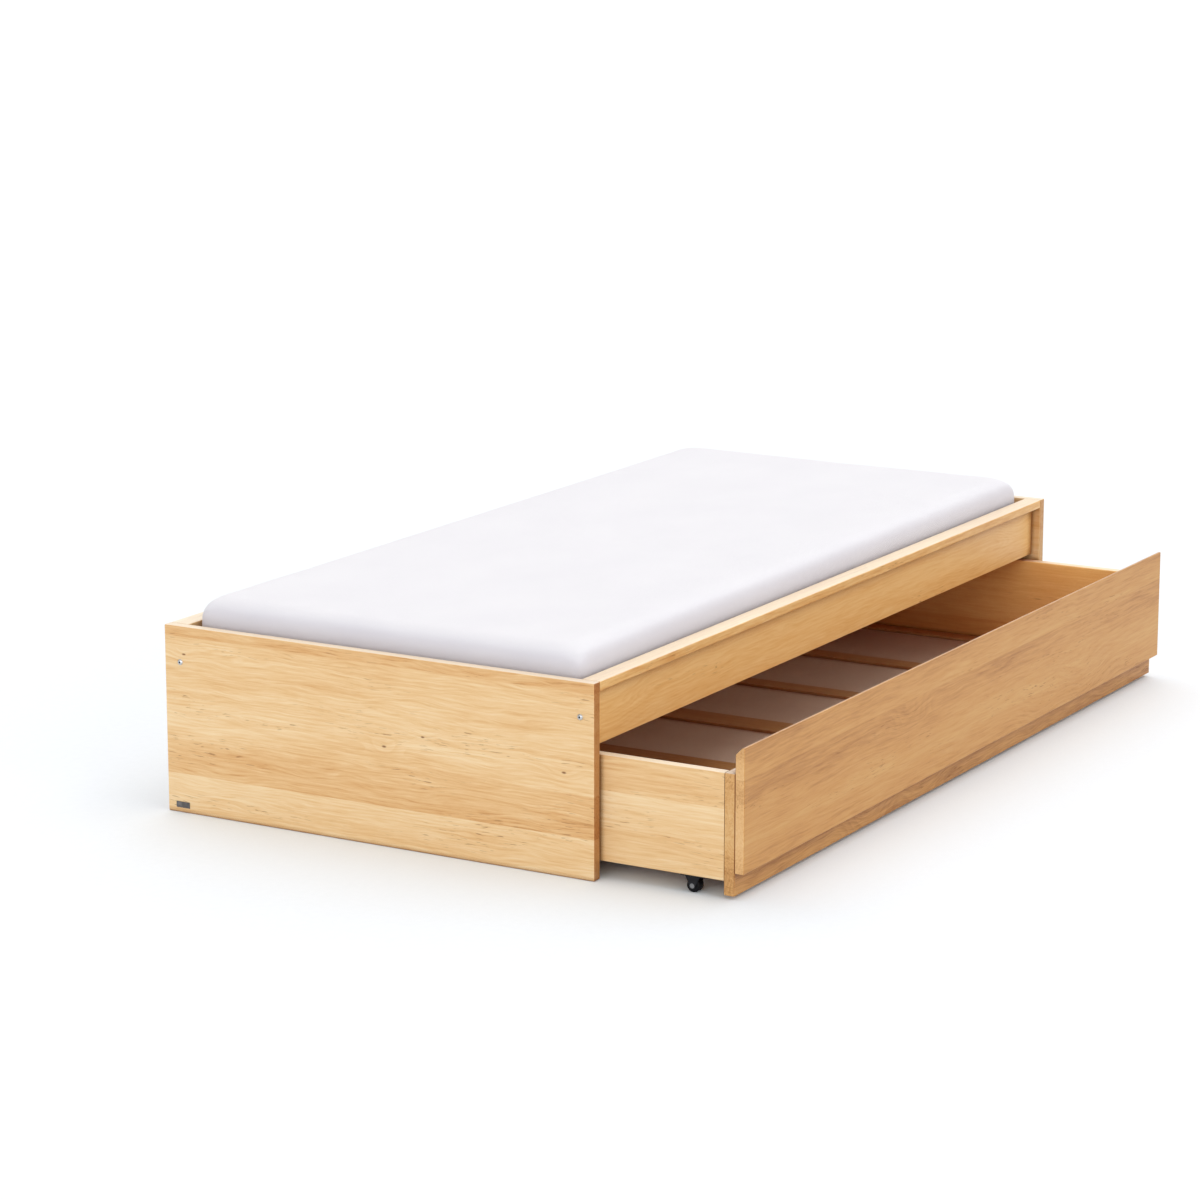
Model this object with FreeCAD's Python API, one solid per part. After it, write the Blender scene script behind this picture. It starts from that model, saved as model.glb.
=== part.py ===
import FreeCAD, Part
import math
import os

# Single bed in solid alder: two end panels on the floor, two long rails with cap strips, a slatted
# base, a foam mattress, and one full-length storage drawer that rolls out on castors at the front.
# +X runs along the bed's length, the drawer opens towards -Y, +Z is up, all in millimetres.
# The origin is on the floor at the middle of the whole outline, with the drawer as far out as DRAWER_OUT.

# Driving dimensions of the bed
LENGTH = 2060.0
DEPTH = 980.0
HEIGHT = 380.0
PANEL_THICK = 22.0
BOARD_THICK = 22.0
STRIP_THICK = 19.0
RAIL_BOTTOM = 251.0
RAIL_SETBACK = 20.6
FRONT_CAP_WIDTH = 40.0
REAR_CAP_WIDTH = 42.0

# Slatted base
SLATS = 12
SLAT_WIDTH = 80.0
SLAT_THICK = 18.0
SLAT_PITCH = 164.0
SLAT_END_GAP = 1.0
LEDGE_WIDTH = 22.0
LEDGE_BOTTOM = 252.0
LEDGE_HEIGHT = 25.0
LEDGE_END_GAP = 2.0
LEDGE_SCREWS = 7
LEDGE_SCREW_INSET = 70.0
TAPE_WIDTH = 20.0
TAPE_THICK = 1.0
TAPE_INSET = 210.0
TAPE_END_INSET = 5.0

# Mattress
MATTRESS_LENGTH = 2000.0
MATTRESS_TOP = 433.0
MATTRESS_ROUND = 50.0
MATTRESS_CORNER = 22.0
MATTRESS_TOP_CORNER = 60.0
MATTRESS_STEPS = 6
SOFT_GAP = 0.4

# Drawer
DRAWER_OUT = 300.0
DRAWER_GAP = 5.3
DRAWER_DEPTH = 901.0
BOX_TOP = 240.0
BOX_BOTTOM = 34.0
FRONT_BOTTOM = 7.0
FACE_BOTTOM = 51.0
FACE_TOP = 290.6
FACE_LAND = 4.5
FACE_BEVEL_DROP = 16.0
FACE_SCREWS_PER_ROW = 6
FACE_SCREW_INSET = 80.0
FACE_SCREW_HEIGHTS = (83.0, 200.0)

# Drawer bottom: grooved battens with thin panels between them
BATTEN_HEIGHT = 14.0
BATTEN_WIDTH = 50.0
MIDDLE_BATTEN_WIDTH = 78.0
END_BATTEN_WIDTH = 42.0
BAYS = 6
GROOVE_BOTTOM = 37.0
GROOVE_HEIGHT = 5.2
GROOVE_DEPTH = 8.0
PANEL_SHEET = 5.0

# Castors
WHEEL_RADIUS = 13.0
WHEEL_WIDTH = 19.0
CASTOR_INSET = 18.2
CASTOR_FROM_FRONT = 110.0
CASTOR_FROM_BACK = 90.0
FORK_WIDTH = 24.4
FORK_SHEET = 2.0
FORK_TOP_LENGTH = 30.0
FORK_TOE_RADIUS = 6.0
PLATE_LENGTH = 50.0
PLATE_THICK = 3.0
AXLE_RADIUS = 2.5
AXLE_HEAD_RADIUS = 4.8
AXLE_HEAD_THICK = 1.0
CASTOR_SCREW_REACH = 20.0
CASTOR_SCREW_INSET = 5.0
CASTOR_SCREW_OFFSET = 4.0

# Fasteners
BOLT_RADIUS = 3.0
BOLT_LENGTH = 75.0
BOLT_HEAD_RADIUS = 6.0
BOLT_HEAD_HEIGHT = 2.6
BOLT_BULGE_RADIUS = 4.9
BOLT_BULGE_HEIGHT = 1.7
BOLT_CROWN_RADIUS = 2.7
HEX_ACROSS = 4.0
HEX_DEPTH = 3.0
NUT_RADIUS = 6.0
NUT_LENGTH = 14.0
NUT_DEPTH = 62.0
DOWEL_RADIUS = 4.0
DOWEL_LENGTH = 40.0
DOWEL_IN_PANEL = 14.0
CORNER_DOWEL_HEIGHTS = (75.0, 137.0, 199.0)
RAIL_DOWEL_INSET = 20.0
SMALL_DOWEL_RADIUS = 3.0
SMALL_DOWEL_LENGTH = 30.0
SMALL_DOWEL_IN_BOARD = 10.0
SMALL_DOWEL_INSET = 13.0
SCREW_RADIUS = 2.0
SCREW_HEAD_RADIUS = 3.8
SCREW_LENGTH = 35.0
HOLE_CLEARANCE = 0.05

# Edge rounding
PANEL_ROUND = 2.5
CAP_ROUND = 3.0
RAIL_ROUND = 1.5
BOX_ROUND = 3.0
FACE_ROUND = 2.0
SLAT_ROUND = 2.0
CASTOR_ROUND = 1.2

# Blank plate on the foot panel
PLATE_WIDTH = 32.0
PLATE_HEIGHT = 12.0
PLATE_SHEET = 0.8
PLATE_FROM_BACK = 20.0
PLATE_FROM_FLOOR = 10.0

# Places that follow from the dimensions
HALF = LENGTH / 2
FRONT = (DRAWER_OUT - DEPTH) / 2
REAR = FRONT + DEPTH
INNER = HALF - PANEL_THICK
RAIL_FRONT = FRONT + RAIL_SETBACK
RAIL_BACK = RAIL_FRONT + STRIP_THICK
FRONT_INNER = FRONT + FRONT_CAP_WIDTH
REAR_INNER = REAR - REAR_CAP_WIDTH
RAIL_TOP = HEIGHT - STRIP_THICK
SLAT_BOTTOM = LEDGE_BOTTOM + LEDGE_HEIGHT
SLAT_TOP = SLAT_BOTTOM + SLAT_THICK
FACE_FRONT = FRONT - DRAWER_OUT
BOARD_FRONT = FACE_FRONT + STRIP_THICK
BOX_START = BOARD_FRONT + BOARD_THICK
BOX_BACK = BOARD_FRONT + DRAWER_DEPTH
BOX_END = BOX_BACK - BOARD_THICK
BOX_HALF = INNER - DRAWER_GAP
BOX_INNER = BOX_HALF - BOARD_THICK
BATTEN_TOP = BOX_BOTTOM + BATTEN_HEIGHT
AXLE_Z = WHEEL_RADIUS
FRONT_BOLT = (RAIL_FRONT + STRIP_THICK / 2, 313.0)
REAR_BOLT = (REAR_INNER + 5.2, 307.0)

X_AXIS = FreeCAD.Vector(1, 0, 0)
Y_AXIS = FreeCAD.Vector(0, 1, 0)
Z_AXIS = FreeCAD.Vector(0, 0, 1)


def save(node, shape):
    """Writes one node, and says how large it is."""
    shape.exportStep("parts/" + node + ".step")
    size = shape.BoundBox
    facts = (node, size.XLength, size.YLength, size.ZLength, len(shape.Solids), shape.isValid())
    print("%-22s %8.1f x %8.1f x %8.1f  solids %d  valid %s" % facts)


def box(x, y, z):
    """A box from (low, high) pairs."""
    corner = FreeCAD.Vector(x[0], y[0], z[0])
    return Part.makeBox(x[1] - x[0], y[1] - y[0], z[1] - z[0], corner)


def board(x, y, z, radius):
    """A planed board with every edge eased."""
    plain = box(x, y, z)
    return plain.makeFillet(radius, plain.Edges)


def rod(start, axis, radius, length):
    return Part.makeCylinder(radius, length, start, axis)


def bored(shape, holes):
    """The shape with every hole cut out of it."""
    return shape.cut(holes) if holes else shape


def turned(profile, start, axis):
    """A solid turned from (radius, height) points about an axis through start."""
    points = [FreeCAD.Vector(r, 0, h) for r, h in profile]
    wire = Part.makePolygon(points + points[:1])
    solid = Part.Face(wire).revolve(FreeCAD.Vector(0, 0, 0), Z_AXIS, 360)
    solid = Part.makeSolid(solid) if solid.ShapeType == "Shell" else solid
    turn = FreeCAD.Rotation(Z_AXIS, axis)
    solid.Placement = FreeCAD.Placement(start, turn)
    return solid


def screw(head, axis, length=SCREW_LENGTH, grow=0.0):
    """A countersunk wood screw: its head's top centre is at head, and it runs along axis."""
    shank = SCREW_RADIUS + grow
    rim = SCREW_HEAD_RADIUS + grow
    cone = rim - shank
    tip = length - SCREW_RADIUS
    return turned([(0, 0), (rim, 0), (shank, cone), (shank, tip), (0, length)], head, axis)


def screw_hole(head, axis, length=SCREW_LENGTH):
    return screw(head, axis, length, HOLE_CLEARANCE)


def hex_prism(across, height):
    corner = across / math.sqrt(3)
    ring = [FreeCAD.Vector(corner * math.cos(i * math.pi / 3), corner * math.sin(i * math.pi / 3), 0)
            for i in range(6)]
    return Part.Face(Part.makePolygon(ring + ring[:1])).extrude(Z_AXIS * height)


def button_bolt(side, place):
    """A domed socket bolt through an end panel: side is -1 at the foot and 1 at the head."""
    y, z = place
    crown = FreeCAD.Vector(BOLT_CROWN_RADIUS, 0, BOLT_HEAD_HEIGHT)
    shoulder = FreeCAD.Vector(BOLT_HEAD_RADIUS, 0, 0)
    bulge = FreeCAD.Vector(BOLT_BULGE_RADIUS, 0, BOLT_BULGE_HEIGHT)
    edges = [
        Part.LineSegment(FreeCAD.Vector(0, 0, 0), shoulder).toShape(),
        Part.Arc(shoulder, bulge, crown).toShape(),
        Part.LineSegment(crown, FreeCAD.Vector(0, 0, BOLT_HEAD_HEIGHT)).toShape(),
        Part.LineSegment(FreeCAD.Vector(0, 0, BOLT_HEAD_HEIGHT), FreeCAD.Vector(0, 0, 0)).toShape(),
    ]
    head = Part.Face(Part.Wire(edges)).revolve(FreeCAD.Vector(0, 0, 0), Z_AXIS, 360)
    shank = Part.makeCylinder(BOLT_RADIUS, BOLT_LENGTH, FreeCAD.Vector(0, 0, -BOLT_LENGTH))
    bolt = head.fuse(shank)
    socket = hex_prism(HEX_ACROSS, HEX_DEPTH)
    socket.translate(Z_AXIS * (BOLT_HEAD_HEIGHT - HEX_DEPTH))
    bolt = bolt.cut(socket).removeSplitter()
    turn = FreeCAD.Rotation(Z_AXIS, X_AXIS * side)
    bolt.Placement = FreeCAD.Placement(FreeCAD.Vector(side * HALF, y, z), turn)
    return bolt


def bolt_hole(side, place):
    start = FreeCAD.Vector(side * HALF, place[0], place[1])
    return rod(start, X_AXIS * -side, BOLT_RADIUS + HOLE_CLEARANCE, BOLT_LENGTH + 1.0)


def barrel_nut(side, place, grow=0.0):
    """A barrel nut's round body, let into the rail's inner face, or its hole where grow is set."""
    x = side * (HALF - NUT_DEPTH)
    if place is FRONT_BOLT:
        return rod(FreeCAD.Vector(x, RAIL_BACK, place[1]), -Y_AXIS, NUT_RADIUS + grow, NUT_LENGTH + grow)
    return rod(FreeCAD.Vector(x, REAR_INNER, place[1]), Y_AXIS, NUT_RADIUS + grow, NUT_LENGTH + grow)


def rail_dowel(side, y, z, grow=0.0):
    """A dowel between an end panel and a rail's end."""
    start = FreeCAD.Vector(side * (INNER + DOWEL_IN_PANEL + grow), y, z)
    return rod(start, X_AXIS * -side, DOWEL_RADIUS + grow, DOWEL_LENGTH + 2 * grow)


def rail_joints():
    """(side, bolt place, dowel heights) of the four rail ends."""
    found = []
    for side in (-1, 1):
        for place in (FRONT_BOLT, REAR_BOLT):
            heights = (RAIL_BOTTOM + RAIL_DOWEL_INSET, RAIL_TOP - RAIL_DOWEL_INSET)
            found.append((side, place, heights))
    return found


def rail_middle(place):
    """The y of the middle of the rail that a bolt place belongs to."""
    return FRONT_BOLT[0] if place is FRONT_BOLT else REAR_INNER + STRIP_THICK / 2


def end_panel(side):
    x = (-HALF, -INNER) if side < 0 else (INNER, HALF)
    panel = board(x, (FRONT, REAR), (0, HEIGHT), PANEL_ROUND)
    holes = []
    for where, place, heights in rail_joints():
        if where == side:
            holes.append(bolt_hole(side, place))
            holes += [rail_dowel(side, rail_middle(place), z, HOLE_CLEARANCE) for z in heights]
    return bored(panel, holes)


def ledge_screws(rear):
    """(head, axis) of the screws that hold a ledge to its rail."""
    y = REAR_INNER - LEDGE_WIDTH if rear else RAIL_BACK + LEDGE_WIDTH
    axis = Y_AXIS if rear else -Y_AXIS
    z = LEDGE_BOTTOM + LEDGE_HEIGHT / 2
    return [(FreeCAD.Vector(x, y, z), axis) for x in screw_row(LEDGE_SCREWS, INNER - LEDGE_SCREW_INSET)]


def screw_row(count, reach):
    """Evenly spaced places from -reach to reach."""
    return [-reach + 2 * reach * i / (count - 1) for i in range(count)]


def rail(rear):
    """A long rail, with the holes for its bolts, nuts, dowels and ledge screws."""
    inner = REAR_INNER if rear else RAIL_FRONT
    y = (inner, inner + STRIP_THICK)
    plain = board((-INNER, INNER), y, (RAIL_BOTTOM, RAIL_TOP), RAIL_ROUND)
    mine = REAR_BOLT if rear else FRONT_BOLT
    holes = [screw_hole(head, axis) for head, axis in ledge_screws(rear)]
    for side, place, heights in rail_joints():
        if place is mine:
            holes.append(bolt_hole(side, place))
            holes.append(barrel_nut(side, place, HOLE_CLEARANCE))
            holes += [rail_dowel(side, rail_middle(place), z, HOLE_CLEARANCE) for z in heights]
    return bored(plain, holes)


def cap(rear):
    """The strip on top of a rail, flush with the end panels."""
    y = (REAR_INNER, REAR) if rear else (FRONT, FRONT_INNER)
    return board((-INNER, INNER), y, (RAIL_TOP, HEIGHT), CAP_ROUND)


def slat_places():
    return [(i - (SLATS - 1) / 2) * SLAT_PITCH for i in range(SLATS)]


def slat_reach():
    """The slats' (low, high) in y, and the y of their screws."""
    front = RAIL_BACK + SLAT_END_GAP
    rear = REAR_INNER - SLAT_END_GAP
    return (front, rear), (front + LEDGE_WIDTH / 2, rear - LEDGE_WIDTH / 2)


def slat_screw_heads(x):
    return [FreeCAD.Vector(x, y, SLAT_TOP) for y in slat_reach()[1]]


def slat(x):
    width = (x - SLAT_WIDTH / 2, x + SLAT_WIDTH / 2)
    plain = board(width, slat_reach()[0], (SLAT_BOTTOM, SLAT_TOP), SLAT_ROUND)
    return bored(plain, [screw_hole(head, -Z_AXIS) for head in slat_screw_heads(x)])


def ledge(rear):
    """The strip inside a rail that carries the slats' ends."""
    y = (REAR_INNER - LEDGE_WIDTH, REAR_INNER) if rear else (RAIL_BACK, RAIL_BACK + LEDGE_WIDTH)
    reach = INNER - LEDGE_END_GAP
    plain = board((-reach, reach), y, (LEDGE_BOTTOM, SLAT_BOTTOM), RAIL_ROUND)
    holes = [screw_hole(head, axis) for head, axis in ledge_screws(rear)]
    for x in slat_places():
        holes.append(screw_hole(slat_screw_heads(x)[1 if rear else 0], -Z_AXIS))
    return bored(plain, holes)


def tapes():
    """Two webbing tapes that keep the slats at their pitch."""
    reach = slat_places()[-1] + SLAT_WIDTH / 2 - TAPE_END_INSET
    z = (SLAT_TOP, SLAT_TOP + TAPE_THICK)
    found = []
    for y in (FRONT_INNER + TAPE_INSET, REAR_INNER - TAPE_INSET):
        found.append(box((-reach, reach), (y - TAPE_WIDTH / 2, y + TAPE_WIDTH / 2), z))
    return Part.makeCompound(found)


def rounded_outline(x, y, z, corner):
    """A closed outline at height z: a rectangle with round corners, x and y being (low, high)."""
    turn = corner * (1 - math.sqrt(0.5))
    edges = []
    for a, b in ((0, 0), (1, 0), (1, 1), (0, 1)):
        in_x = 1 if a == 0 else -1
        in_y = 1 if b == 0 else -1
        beside_x = FreeCAD.Vector(x[a] + in_x * corner, y[b], z)
        beside_y = FreeCAD.Vector(x[a], y[b] + in_y * corner, z)
        middle = FreeCAD.Vector(x[a] + in_x * turn, y[b] + in_y * turn, z)
        ends = (beside_y, beside_x) if a == b else (beside_x, beside_y)
        if edges:
            edges.append(Part.LineSegment(last, ends[0]).toShape())
        else:
            first = ends[0]
        edges.append(Part.Arc(ends[0], middle, ends[1]).toShape())
        last = ends[1]
    edges.append(Part.LineSegment(last, first).toShape())
    return Part.Wire(edges)


def mattress():
    """Plain foam block: small corners where it stands in the frame, opening into a large round on top."""
    half = MATTRESS_LENGTH / 2
    front = FRONT_INNER + SOFT_GAP
    rear = REAR_INNER - SOFT_GAP
    bottom = SLAT_TOP + TAPE_THICK + SOFT_GAP
    shoulder = MATTRESS_TOP - MATTRESS_ROUND
    outlines = []
    for step in range(MATTRESS_STEPS + 1):
        angle = math.pi / 2 * step / MATTRESS_STEPS
        inset = MATTRESS_ROUND * (1 - math.cos(angle))
        z = shoulder + MATTRESS_ROUND * math.sin(angle)
        corner = MATTRESS_CORNER + (MATTRESS_TOP_CORNER - MATTRESS_CORNER) * math.sin(angle)
        x = (-half + inset, half - inset)
        y = (front + inset, rear - inset)
        outlines.append(rounded_outline(x, y, z, corner))
    crown = Part.makeLoft(outlines, True, False)
    base = rounded_outline((-half, half), (front, rear), bottom, MATTRESS_CORNER)
    block = Part.Face(base).extrude(Z_AXIS * (shoulder - bottom))
    return block.fuse(crown).removeSplitter()


def label_plate():
    """The small blank metal plate near the foot panel's rear bottom corner."""
    y = (REAR - PLATE_FROM_BACK - PLATE_WIDTH, REAR - PLATE_FROM_BACK)
    z = (PLATE_FROM_FLOOR, PLATE_FROM_FLOOR + PLATE_HEIGHT)
    return box((-HALF - PLATE_SHEET, -HALF), y, z)


def drawer_face():
    """The drawer's face, with a bevel behind its top edge that fingers reach over."""
    low, high = FACE_FRONT, FACE_FRONT + STRIP_THICK
    plain = board((-BOX_HALF, BOX_HALF), (low, high), (FACE_BOTTOM, FACE_TOP), FACE_ROUND)
    outline = [
        FreeCAD.Vector(-HALF, low + FACE_LAND, FACE_TOP),
        FreeCAD.Vector(-HALF, high + 1.0, FACE_TOP - FACE_BEVEL_DROP),
        FreeCAD.Vector(-HALF, high + 1.0, FACE_TOP + 1.0),
        FreeCAD.Vector(-HALF, low + FACE_LAND, FACE_TOP + 1.0),
    ]
    waste = Part.Face(Part.makePolygon(outline + outline[:1])).extrude(X_AXIS * LENGTH)
    holes = [waste] + [screw_hole(head, axis) for head, axis in face_screw_places()]
    return bored(plain, holes)


def face_screw_places():
    """(head, axis) of the screws that hold the face, driven from inside the drawer."""
    found = []
    for z in FACE_SCREW_HEIGHTS:
        for x in screw_row(FACE_SCREWS_PER_ROW, BOX_INNER - FACE_SCREW_INSET):
            found.append((FreeCAD.Vector(x, BOX_START, z), -Y_AXIS))
    return found


def panel_groove(y):
    """The waste of one long groove for the bottom panels' edges."""
    return box((-BOX_INNER, BOX_INNER), y, (GROOVE_BOTTOM, GROOVE_BOTTOM + GROOVE_HEIGHT))


def corner_dowels(grow=0.0):
    """Dowels that join the drawer's side boards to its front and back boards."""
    found = []
    for x in (-BOX_HALF + BOARD_THICK / 2, BOX_HALF - BOARD_THICK / 2):
        for z in CORNER_DOWEL_HEIGHTS:
            front = FreeCAD.Vector(x, BOX_START - DOWEL_IN_PANEL - grow, z)
            back = FreeCAD.Vector(x, BOX_END + DOWEL_IN_PANEL + grow, z)
            found.append(rod(front, Y_AXIS, DOWEL_RADIUS + grow, DOWEL_LENGTH + 2 * grow))
            found.append(rod(back, -Y_AXIS, DOWEL_RADIUS + grow, DOWEL_LENGTH + 2 * grow))
    return found


def batten_dowels(grow=0.0):
    """Two small dowels in each end of each batten."""
    found = []
    z = (BOX_BOTTOM + BATTEN_TOP) / 2
    for low, high in batten_places():
        for x in (low + SMALL_DOWEL_INSET, high - SMALL_DOWEL_INSET):
            front = FreeCAD.Vector(x, BOX_START - SMALL_DOWEL_IN_BOARD - grow, z)
            back = FreeCAD.Vector(x, BOX_END + SMALL_DOWEL_IN_BOARD + grow, z)
            length = SMALL_DOWEL_LENGTH + 2 * grow
            found.append(rod(front, Y_AXIS, SMALL_DOWEL_RADIUS + grow, length))
            found.append(rod(back, -Y_AXIS, SMALL_DOWEL_RADIUS + grow, length))
    return found


def drawer_front_board():
    plain = board((-BOX_HALF, BOX_HALF), (BOARD_FRONT, BOX_START), (FRONT_BOTTOM, BOX_TOP), FACE_ROUND)
    holes = [panel_groove((BOX_START - GROOVE_DEPTH, BOX_START + 1.0))]
    holes += [screw_hole(head, axis) for head, axis in face_screw_places()]
    return bored(plain, holes + corner_dowels(HOLE_CLEARANCE) + batten_dowels(HOLE_CLEARANCE))


def drawer_back_board():
    plain = board((-BOX_HALF, BOX_HALF), (BOX_END, BOX_BACK), (BOX_BOTTOM, BOX_TOP), BOX_ROUND)
    holes = [panel_groove((BOX_END - 1.0, BOX_END + GROOVE_DEPTH))]
    return bored(plain, holes + corner_dowels(HOLE_CLEARANCE) + batten_dowels(HOLE_CLEARANCE))


def drawer_side(side):
    x = (-BOX_HALF, -BOX_INNER) if side < 0 else (BOX_INNER, BOX_HALF)
    plain = box(x, (BOX_START, BOX_END), (BOX_BOTTOM, BOX_TOP))
    long_edges = [e for e in plain.Edges if abs(e.tangentAt(e.FirstParameter).y) > 0.9]
    eased = plain.makeFillet(BOX_ROUND, long_edges)
    return bored(eased, corner_dowels(HOLE_CLEARANCE) + castor_screw_holes())


def batten_places():
    """(low, high) in x of the seven battens: one at each end, one in the middle, two in each half."""
    inner_widths = [END_BATTEN_WIDTH, BATTEN_WIDTH, BATTEN_WIDTH, MIDDLE_BATTEN_WIDTH / 2]
    bay = (BOX_INNER - sum(inner_widths)) / (BAYS / 2)
    right = []
    low = MIDDLE_BATTEN_WIDTH / 2
    for width in (BATTEN_WIDTH, BATTEN_WIDTH, END_BATTEN_WIDTH):
        low += bay
        right.append((low, low + width))
        low += width
    left = [(-high, -low) for low, high in reversed(right)]
    return left + [(-MIDDLE_BATTEN_WIDTH / 2, MIDDLE_BATTEN_WIDTH / 2)] + right


def batten(place):
    """A batten of the drawer's bottom, grooved on each edge that meets a panel."""
    low, high = place
    plain = box((low, high), (BOX_START, BOX_END), (BOX_BOTTOM, BATTEN_TOP))
    groove_z = (GROOVE_BOTTOM, GROOVE_BOTTOM + GROOVE_HEIGHT)
    reach = (BOX_START - 1.0, BOX_END + 1.0)
    holes = batten_dowels(HOLE_CLEARANCE)
    if low > -BOX_INNER + 1.0:
        holes.append(box((low - 1.0, low + GROOVE_DEPTH), reach, groove_z))
    if high < BOX_INNER - 1.0:
        holes.append(box((high - GROOVE_DEPTH, high + 1.0), reach, groove_z))
    return bored(plain, holes)


def bottom_panel(left, right):
    """A thin panel between two battens, its edges in the grooves."""
    tongue = GROOVE_DEPTH - 1.0
    x = (left[1] - tongue, right[0] + tongue)
    y = (BOX_START - tongue, BOX_END + tongue)
    return box(x, y, (GROOVE_BOTTOM, GROOVE_BOTTOM + PANEL_SHEET))


def castor_places():
    """(name, x, y) of the four castors' axles."""
    reach = BOX_HALF - CASTOR_INSET
    front = FACE_FRONT + CASTOR_FROM_FRONT
    back = BOX_BACK - CASTOR_FROM_BACK
    return [
        ("foot_front", -reach, front),
        ("foot_back", -reach, back),
        ("head_front", reach, front),
        ("head_back", reach, back),
    ]


def castor_bracket(x, y):
    """A fixed fork: a mounting plate and two tapered cheeks in one pressing."""
    half = FORK_WIDTH / 2
    plate_z = (BOX_BOTTOM - PLATE_THICK, BOX_BOTTOM)
    plate = box((x - half, x + half), (y - PLATE_LENGTH / 2, y + PLATE_LENGTH / 2), plate_z)
    fork = plate
    for inner in (x - half, x + half - FORK_SHEET):
        top = FORK_TOP_LENGTH / 2
        points = [
            FreeCAD.Vector(inner, y - top, plate_z[0]),
            FreeCAD.Vector(inner, y - FORK_TOE_RADIUS, AXLE_Z),
            FreeCAD.Vector(inner, y, AXLE_Z - FORK_TOE_RADIUS),
            FreeCAD.Vector(inner, y + FORK_TOE_RADIUS, AXLE_Z),
            FreeCAD.Vector(inner, y + top, plate_z[0]),
        ]
        edges = [
            Part.LineSegment(points[0], points[1]).toShape(),
            Part.Arc(points[1], points[2], points[3]).toShape(),
            Part.LineSegment(points[3], points[4]).toShape(),
            Part.LineSegment(points[4], points[0]).toShape(),
        ]
        fork = fork.fuse(Part.Face(Part.Wire(edges)).extrude(X_AXIS * FORK_SHEET))
    start = FreeCAD.Vector(x - FORK_WIDTH, y, AXLE_Z)
    hole = rod(start, X_AXIS, AXLE_RADIUS + HOLE_CLEARANCE, 2 * FORK_WIDTH)
    return fork.removeSplitter().cut([hole] + castor_screw_holes())


def castor_wheel(x, y):
    """A small tyred wheel, turning on its axle with a running clearance."""
    wheel = rod(FreeCAD.Vector(x - WHEEL_WIDTH / 2, y, AXLE_Z), X_AXIS, WHEEL_RADIUS, WHEEL_WIDTH)
    rims = [e for e in wheel.Edges if isinstance(e.Curve, Part.Circle)]
    wheel = wheel.makeFillet(CASTOR_ROUND, rims)
    start = FreeCAD.Vector(x - WHEEL_WIDTH, y, AXLE_Z)
    return wheel.cut(rod(start, X_AXIS, AXLE_RADIUS + HOLE_CLEARANCE, 2 * WHEEL_WIDTH))


def castor_axle(x, y):
    """A riveted axle with a flat head outside each cheek."""
    half = FORK_WIDTH / 2
    head = half + AXLE_HEAD_THICK
    profile = [
        (0, -head),
        (AXLE_HEAD_RADIUS, -head),
        (AXLE_HEAD_RADIUS, -half),
        (AXLE_RADIUS, -half),
        (AXLE_RADIUS, half),
        (AXLE_HEAD_RADIUS, half),
        (AXLE_HEAD_RADIUS, head),
        (0, head),
    ]
    return turned(profile, FreeCAD.Vector(x, y, AXLE_Z), X_AXIS)


def castor_screw_heads():
    """Two screws up through each castor's plate, clear of the fork's cheeks."""
    reach = PLATE_LENGTH / 2 - CASTOR_SCREW_INSET
    z = BOX_BOTTOM - PLATE_THICK
    found = []
    for _, x, y in castor_places():
        under_side = x + math.copysign(CASTOR_SCREW_OFFSET, x)
        found += [FreeCAD.Vector(under_side, y + end * reach, z) for end in (-1, 1)]
    return found


def castor_screw_holes():
    return [screw_hole(head, Z_AXIS, CASTOR_SCREW_REACH) for head in castor_screw_heads()]


def save_bed():
    save("foot_panel", end_panel(-1))
    save("head_panel", end_panel(1))
    save("front_rail", rail(False))
    save("rear_rail", rail(True))
    save("front_cap", cap(False))
    save("rear_cap", cap(True))
    save("front_ledge", ledge(False))
    save("rear_ledge", ledge(True))
    for number, x in enumerate(slat_places(), 1):
        save("slat_%02d" % number, slat(x))
    save("slat_tapes", tapes())
    save("mattress", mattress())
    save("label_plate", label_plate())


def save_bed_fasteners():
    joints = rail_joints()
    bolts = [button_bolt(side, place) for side, place, _ in joints]
    save("bed_bolts", Part.makeCompound(bolts))
    nuts = []
    for side, place, _ in joints:
        nuts.append(barrel_nut(side, place).cut(bolt_hole(side, place)))
    save("barrel_nuts", Part.makeCompound(nuts))
    dowels = []
    for side, place, heights in joints:
        dowels += [rail_dowel(side, rail_middle(place), z) for z in heights]
    save("rail_dowels", Part.makeCompound(dowels))
    ledge_set = [screw(head, axis) for rear in (False, True) for head, axis in ledge_screws(rear)]
    save("ledge_screws", Part.makeCompound(ledge_set))
    slat_set = [screw(head, -Z_AXIS) for x in slat_places() for head in slat_screw_heads(x)]
    save("slat_screws", Part.makeCompound(slat_set))


def save_drawer():
    save("drawer_face", drawer_face())
    save("drawer_front_board", drawer_front_board())
    save("drawer_back_board", drawer_back_board())
    save("drawer_side_foot", drawer_side(-1))
    save("drawer_side_head", drawer_side(1))
    places = batten_places()
    for number, place in enumerate(places, 1):
        save("drawer_batten_%d" % number, batten(place))
    for number, pair in enumerate(zip(places[:-1], places[1:]), 1):
        save("drawer_panel_%d" % number, bottom_panel(*pair))
    save("drawer_dowels", Part.makeCompound(corner_dowels() + batten_dowels()))
    save("face_screws", Part.makeCompound([screw(head, axis) for head, axis in face_screw_places()]))


def save_castors():
    for name, x, y in castor_places():
        save("castor_bracket_" + name, castor_bracket(x, y))
        save("castor_wheel_" + name, castor_wheel(x, y))
    save("castor_axles", Part.makeCompound([castor_axle(x, y) for _, x, y in castor_places()]))
    screws = [screw(head, Z_AXIS, CASTOR_SCREW_REACH) for head in castor_screw_heads()]
    save("castor_screws", Part.makeCompound(screws))


os.makedirs("parts", exist_ok=True)
save_bed()
save_bed_fasteners()
save_drawer()
save_castors()
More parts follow.
